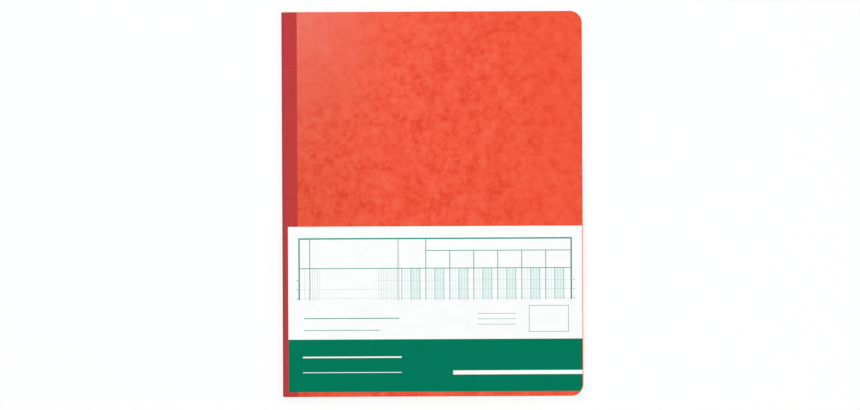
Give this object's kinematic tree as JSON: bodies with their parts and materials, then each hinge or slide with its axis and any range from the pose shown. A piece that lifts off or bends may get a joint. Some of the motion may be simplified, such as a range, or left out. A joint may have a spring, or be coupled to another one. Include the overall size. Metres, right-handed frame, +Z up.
{
  "type": "cash book",
  "caption": "Thin sewn account register: folded ledger sheets between pressboard covers joined by a cloth spine tape, with a ruled label on the front. Covers and leaves turn.",
  "frame": {"origin": "middle of the closed book's footprint, on the surface that it lies on", "axes": "+Z up, out of the front cover; +Y towards the head of the book; +X from the spine to the fore-edge"},
  "size_m": [0.25, 0.32, 0.0082],
  "materials": {
    "pressboard": "glazed, mottled",
    "spine_cloth": "fine book cloth",
    "label_paper": "coated, printed green",
    "ledger_paper": "uncoated, ruled",
    "linen_thread": "waxed linen"
  },
  "bodies": {
    "back_cover": {"back_cover": "pressboard", "spine_tape_back": "spine_cloth"},
    "spine": {"centre_sheet_fold": "ledger_paper", "ledger_sheet_folds": "ledger_paper", "outer_sheet_fold": "ledger_paper", "sewing_thread": "linen_thread", "spine_tape_bend": "spine_cloth"},
    "identification_leaf": {"identification_leaf": "ledger_paper"},
    "leaf_01": {"leaf_01": "ledger_paper"},
    "leaf_02": {"leaf_02": "ledger_paper"},
    "leaf_03": {"leaf_03": "ledger_paper"},
    "leaf_04": {"leaf_04": "ledger_paper"},
    "leaf_05": {"leaf_05": "ledger_paper"},
    "leaf_06": {"leaf_06": "ledger_paper"},
    "leaf_07": {"leaf_07": "ledger_paper"},
    "leaf_08": {"leaf_08": "ledger_paper"},
    "leaf_09": {"leaf_09": "ledger_paper"},
    "leaf_10": {"leaf_10": "ledger_paper"},
    "leaf_11": {"leaf_11": "ledger_paper"},
    "leaf_12": {"leaf_12": "ledger_paper"},
    "leaf_13": {"leaf_13": "ledger_paper"},
    "leaf_14": {"leaf_14": "ledger_paper"},
    "leaf_15": {"leaf_15": "ledger_paper"},
    "leaf_16": {"leaf_16": "ledger_paper"},
    "leaf_17": {"leaf_17": "ledger_paper"},
    "leaf_18": {"leaf_18": "ledger_paper"},
    "leaf_19": {"leaf_19": "ledger_paper"},
    "leaf_20": {"leaf_20": "ledger_paper"},
    "leaf_21": {"leaf_21": "ledger_paper"},
    "leaf_22": {"leaf_22": "ledger_paper"},
    "leaf_23": {"leaf_23": "ledger_paper"},
    "leaf_24": {"leaf_24": "ledger_paper"},
    "leaf_25": {"leaf_25": "ledger_paper"},
    "leaf_26": {"leaf_26": "ledger_paper"},
    "leaf_27": {"leaf_27": "ledger_paper"},
    "leaf_28": {"leaf_28": "ledger_paper"},
    "leaf_29": {"leaf_29": "ledger_paper"},
    "leaf_30": {"leaf_30": "ledger_paper"},
    "leaf_31": {"leaf_31": "ledger_paper"},
    "leaf_32": {"leaf_32": "ledger_paper"},
    "leaf_33": {"leaf_33": "ledger_paper"},
    "leaf_34": {"leaf_34": "ledger_paper"},
    "leaf_35": {"leaf_35": "ledger_paper"},
    "leaf_36": {"leaf_36": "ledger_paper"},
    "leaf_37": {"leaf_37": "ledger_paper"},
    "leaf_38": {"leaf_38": "ledger_paper"},
    "leaf_39": {"leaf_39": "ledger_paper"},
    "leaf_40": {"leaf_40": "ledger_paper"},
    "end_leaf": {"end_leaf": "ledger_paper"},
    "front_cover": {"front_cover": "pressboard", "spine_tape_front": "spine_cloth", "front_label": "label_paper"}
  },
  "joints": [
    {"name": "identification_leaf_turn", "type": "hinge", "parent": "back_cover", "child": "identification_leaf", "pos_m": [-0.12095, 0, 0.00404], "axis": [0, -1, 0], "range_deg": [0, 180], "deforming": ["centre_sheet_fold", "ledger_sheet_folds", "outer_sheet_fold", "spine_tape_bend"]},
    {"name": "leaf_01_turn", "type": "hinge", "parent": "back_cover", "child": "leaf_01", "pos_m": [-0.12095, 0, 0.00404], "axis": [0, -1, 0], "range_deg": [0, 180]},
    {"name": "leaf_02_turn", "type": "hinge", "parent": "back_cover", "child": "leaf_02", "pos_m": [-0.12095, 0, 0.00404], "axis": [0, -1, 0], "range_deg": [0, 180]},
    {"name": "leaf_03_turn", "type": "hinge", "parent": "back_cover", "child": "leaf_03", "pos_m": [-0.12095, 0, 0.00404], "axis": [0, -1, 0], "range_deg": [0, 180]},
    {"name": "leaf_04_turn", "type": "hinge", "parent": "back_cover", "child": "leaf_04", "pos_m": [-0.12095, 0, 0.00404], "axis": [0, -1, 0], "range_deg": [0, 180]},
    {"name": "leaf_05_turn", "type": "hinge", "parent": "back_cover", "child": "leaf_05", "pos_m": [-0.12095, 0, 0.00404], "axis": [0, -1, 0], "range_deg": [0, 180]},
    {"name": "leaf_06_turn", "type": "hinge", "parent": "back_cover", "child": "leaf_06", "pos_m": [-0.12095, 0, 0.00404], "axis": [0, -1, 0], "range_deg": [0, 180]},
    {"name": "leaf_07_turn", "type": "hinge", "parent": "back_cover", "child": "leaf_07", "pos_m": [-0.12095, 0, 0.00404], "axis": [0, -1, 0], "range_deg": [0, 180]},
    {"name": "leaf_08_turn", "type": "hinge", "parent": "back_cover", "child": "leaf_08", "pos_m": [-0.12095, 0, 0.00404], "axis": [0, -1, 0], "range_deg": [0, 180]},
    {"name": "leaf_09_turn", "type": "hinge", "parent": "back_cover", "child": "leaf_09", "pos_m": [-0.12095, 0, 0.00404], "axis": [0, -1, 0], "range_deg": [0, 180]},
    {"name": "leaf_10_turn", "type": "hinge", "parent": "back_cover", "child": "leaf_10", "pos_m": [-0.12095, 0, 0.00404], "axis": [0, -1, 0], "range_deg": [0, 180]},
    {"name": "leaf_11_turn", "type": "hinge", "parent": "back_cover", "child": "leaf_11", "pos_m": [-0.12095, 0, 0.00404], "axis": [0, -1, 0], "range_deg": [0, 180]},
    {"name": "leaf_12_turn", "type": "hinge", "parent": "back_cover", "child": "leaf_12", "pos_m": [-0.12095, 0, 0.00404], "axis": [0, -1, 0], "range_deg": [0, 180]},
    {"name": "leaf_13_turn", "type": "hinge", "parent": "back_cover", "child": "leaf_13", "pos_m": [-0.12095, 0, 0.00404], "axis": [0, -1, 0], "range_deg": [0, 180]},
    {"name": "leaf_14_turn", "type": "hinge", "parent": "back_cover", "child": "leaf_14", "pos_m": [-0.12095, 0, 0.00404], "axis": [0, -1, 0], "range_deg": [0, 180]},
    {"name": "leaf_15_turn", "type": "hinge", "parent": "back_cover", "child": "leaf_15", "pos_m": [-0.12095, 0, 0.00404], "axis": [0, -1, 0], "range_deg": [0, 180]},
    {"name": "leaf_16_turn", "type": "hinge", "parent": "back_cover", "child": "leaf_16", "pos_m": [-0.12095, 0, 0.00404], "axis": [0, -1, 0], "range_deg": [0, 180]},
    {"name": "leaf_17_turn", "type": "hinge", "parent": "back_cover", "child": "leaf_17", "pos_m": [-0.12095, 0, 0.00404], "axis": [0, -1, 0], "range_deg": [0, 180]},
    {"name": "leaf_18_turn", "type": "hinge", "parent": "back_cover", "child": "leaf_18", "pos_m": [-0.12095, 0, 0.00404], "axis": [0, -1, 0], "range_deg": [0, 180]},
    {"name": "leaf_19_turn", "type": "hinge", "parent": "back_cover", "child": "leaf_19", "pos_m": [-0.12095, 0, 0.00404], "axis": [0, -1, 0], "range_deg": [0, 180]},
    {"name": "leaf_20_turn", "type": "hinge", "parent": "back_cover", "child": "leaf_20", "pos_m": [-0.12095, 0, 0.00404], "axis": [0, -1, 0], "range_deg": [0, 180]},
    {"name": "leaf_21_turn", "type": "hinge", "parent": "back_cover", "child": "leaf_21", "pos_m": [-0.12095, 0, 0.00404], "axis": [0, -1, 0], "range_deg": [0, 180]},
    {"name": "leaf_22_turn", "type": "hinge", "parent": "back_cover", "child": "leaf_22", "pos_m": [-0.12095, 0, 0.00404], "axis": [0, -1, 0], "range_deg": [0, 180]},
    {"name": "leaf_23_turn", "type": "hinge", "parent": "back_cover", "child": "leaf_23", "pos_m": [-0.12095, 0, 0.00404], "axis": [0, -1, 0], "range_deg": [0, 180]},
    {"name": "leaf_24_turn", "type": "hinge", "parent": "back_cover", "child": "leaf_24", "pos_m": [-0.12095, 0, 0.00404], "axis": [0, -1, 0], "range_deg": [0, 180]},
    {"name": "leaf_25_turn", "type": "hinge", "parent": "back_cover", "child": "leaf_25", "pos_m": [-0.12095, 0, 0.00404], "axis": [0, -1, 0], "range_deg": [0, 180]},
    {"name": "leaf_26_turn", "type": "hinge", "parent": "back_cover", "child": "leaf_26", "pos_m": [-0.12095, 0, 0.00404], "axis": [0, -1, 0], "range_deg": [0, 180]},
    {"name": "leaf_27_turn", "type": "hinge", "parent": "back_cover", "child": "leaf_27", "pos_m": [-0.12095, 0, 0.00404], "axis": [0, -1, 0], "range_deg": [0, 180]},
    {"name": "leaf_28_turn", "type": "hinge", "parent": "back_cover", "child": "leaf_28", "pos_m": [-0.12095, 0, 0.00404], "axis": [0, -1, 0], "range_deg": [0, 180]},
    {"name": "leaf_29_turn", "type": "hinge", "parent": "back_cover", "child": "leaf_29", "pos_m": [-0.12095, 0, 0.00404], "axis": [0, -1, 0], "range_deg": [0, 180]},
    {"name": "leaf_30_turn", "type": "hinge", "parent": "back_cover", "child": "leaf_30", "pos_m": [-0.12095, 0, 0.00404], "axis": [0, -1, 0], "range_deg": [0, 180]},
    {"name": "leaf_31_turn", "type": "hinge", "parent": "back_cover", "child": "leaf_31", "pos_m": [-0.12095, 0, 0.00404], "axis": [0, -1, 0], "range_deg": [0, 180]},
    {"name": "leaf_32_turn", "type": "hinge", "parent": "back_cover", "child": "leaf_32", "pos_m": [-0.12095, 0, 0.00404], "axis": [0, -1, 0], "range_deg": [0, 180]},
    {"name": "leaf_33_turn", "type": "hinge", "parent": "back_cover", "child": "leaf_33", "pos_m": [-0.12095, 0, 0.00404], "axis": [0, -1, 0], "range_deg": [0, 180]},
    {"name": "leaf_34_turn", "type": "hinge", "parent": "back_cover", "child": "leaf_34", "pos_m": [-0.12095, 0, 0.00404], "axis": [0, -1, 0], "range_deg": [0, 180]},
    {"name": "leaf_35_turn", "type": "hinge", "parent": "back_cover", "child": "leaf_35", "pos_m": [-0.12095, 0, 0.00404], "axis": [0, -1, 0], "range_deg": [0, 180]},
    {"name": "leaf_36_turn", "type": "hinge", "parent": "back_cover", "child": "leaf_36", "pos_m": [-0.12095, 0, 0.00404], "axis": [0, -1, 0], "range_deg": [0, 180]},
    {"name": "leaf_37_turn", "type": "hinge", "parent": "back_cover", "child": "leaf_37", "pos_m": [-0.12095, 0, 0.00404], "axis": [0, -1, 0], "range_deg": [0, 180]},
    {"name": "leaf_38_turn", "type": "hinge", "parent": "back_cover", "child": "leaf_38", "pos_m": [-0.12095, 0, 0.00404], "axis": [0, -1, 0], "range_deg": [0, 180]},
    {"name": "leaf_39_turn", "type": "hinge", "parent": "back_cover", "child": "leaf_39", "pos_m": [-0.12095, 0, 0.00404], "axis": [0, -1, 0], "range_deg": [0, 180]},
    {"name": "leaf_40_turn", "type": "hinge", "parent": "back_cover", "child": "leaf_40", "pos_m": [-0.12095, 0, 0.00404], "axis": [0, -1, 0], "range_deg": [0, 180]},
    {"name": "end_leaf_turn", "type": "hinge", "parent": "back_cover", "child": "end_leaf", "pos_m": [-0.12095, 0, 0.00404], "axis": [0, -1, 0], "range_deg": [0, 180]},
    {"name": "spine_turn", "type": "hinge", "parent": "back_cover", "child": "spine", "pos_m": [-0.12095, 0, 0.00404], "axis": [0, -1, 0], "range_deg": [0, 90]},
    {"name": "front_cover_hinge", "type": "hinge", "parent": "identification_leaf", "child": "front_cover", "pos_m": [-0.12095, 0, 0.00821], "axis": [0, -1, 0], "range_deg": [0, 180]}
  ],
  "couplings": [
    {"joint": "leaf_01_turn", "follows": "identification_leaf_turn", "ratio": 0.9997},
    {"joint": "leaf_02_turn", "follows": "identification_leaf_turn", "ratio": 0.99894},
    {"joint": "leaf_03_turn", "follows": "identification_leaf_turn", "ratio": 0.99781},
    {"joint": "leaf_04_turn", "follows": "identification_leaf_turn", "ratio": 0.99632},
    {"joint": "leaf_05_turn", "follows": "identification_leaf_turn", "ratio": 0.9945},
    {"joint": "leaf_06_turn", "follows": "identification_leaf_turn", "ratio": 0.99237},
    {"joint": "leaf_07_turn", "follows": "identification_leaf_turn", "ratio": 0.98993},
    {"joint": "leaf_08_turn", "follows": "identification_leaf_turn", "ratio": 0.98719},
    {"joint": "leaf_09_turn", "follows": "identification_leaf_turn", "ratio": 0.98416},
    {"joint": "leaf_10_turn", "follows": "identification_leaf_turn", "ratio": 0.98086},
    {"joint": "leaf_11_turn", "follows": "identification_leaf_turn", "ratio": 0.97727},
    {"joint": "leaf_12_turn", "follows": "identification_leaf_turn", "ratio": 0.97342},
    {"joint": "leaf_13_turn", "follows": "identification_leaf_turn", "ratio": 0.9693},
    {"joint": "leaf_14_turn", "follows": "identification_leaf_turn", "ratio": 0.96492},
    {"joint": "leaf_15_turn", "follows": "identification_leaf_turn", "ratio": 0.96028},
    {"joint": "leaf_16_turn", "follows": "identification_leaf_turn", "ratio": 0.95539},
    {"joint": "leaf_17_turn", "follows": "identification_leaf_turn", "ratio": 0.95024},
    {"joint": "leaf_18_turn", "follows": "identification_leaf_turn", "ratio": 0.94485},
    {"joint": "leaf_19_turn", "follows": "identification_leaf_turn", "ratio": 0.93921},
    {"joint": "leaf_20_turn", "follows": "identification_leaf_turn", "ratio": 0.93333},
    {"joint": "leaf_21_turn", "follows": "identification_leaf_turn", "ratio": 0.06667},
    {"joint": "leaf_22_turn", "follows": "identification_leaf_turn", "ratio": 0.06098},
    {"joint": "leaf_23_turn", "follows": "identification_leaf_turn", "ratio": 0.05553},
    {"joint": "leaf_24_turn", "follows": "identification_leaf_turn", "ratio": 0.05032},
    {"joint": "leaf_25_turn", "follows": "identification_leaf_turn", "ratio": 0.04535},
    {"joint": "leaf_26_turn", "follows": "identification_leaf_turn", "ratio": 0.04062},
    {"joint": "leaf_27_turn", "follows": "identification_leaf_turn", "ratio": 0.03613},
    {"joint": "leaf_28_turn", "follows": "identification_leaf_turn", "ratio": 0.0319},
    {"joint": "leaf_29_turn", "follows": "identification_leaf_turn", "ratio": 0.02792},
    {"joint": "leaf_30_turn", "follows": "identification_leaf_turn", "ratio": 0.02419},
    {"joint": "leaf_31_turn", "follows": "identification_leaf_turn", "ratio": 0.02073},
    {"joint": "leaf_32_turn", "follows": "identification_leaf_turn", "ratio": 0.01753},
    {"joint": "leaf_33_turn", "follows": "identification_leaf_turn", "ratio": 0.01461},
    {"joint": "leaf_34_turn", "follows": "identification_leaf_turn", "ratio": 0.01196},
    {"joint": "leaf_35_turn", "follows": "identification_leaf_turn", "ratio": 0.0096},
    {"joint": "leaf_36_turn", "follows": "identification_leaf_turn", "ratio": 0.00754},
    {"joint": "leaf_37_turn", "follows": "identification_leaf_turn", "ratio": 0.00578},
    {"joint": "leaf_38_turn", "follows": "identification_leaf_turn", "ratio": 0.00434},
    {"joint": "leaf_39_turn", "follows": "identification_leaf_turn", "ratio": 0.00324},
    {"joint": "leaf_40_turn", "follows": "identification_leaf_turn", "ratio": 0.00252},
    {"joint": "end_leaf_turn", "follows": "identification_leaf_turn", "ratio": 0.00222},
    {"joint": "spine_turn", "follows": "identification_leaf_turn", "ratio": 0.5}
  ]
}
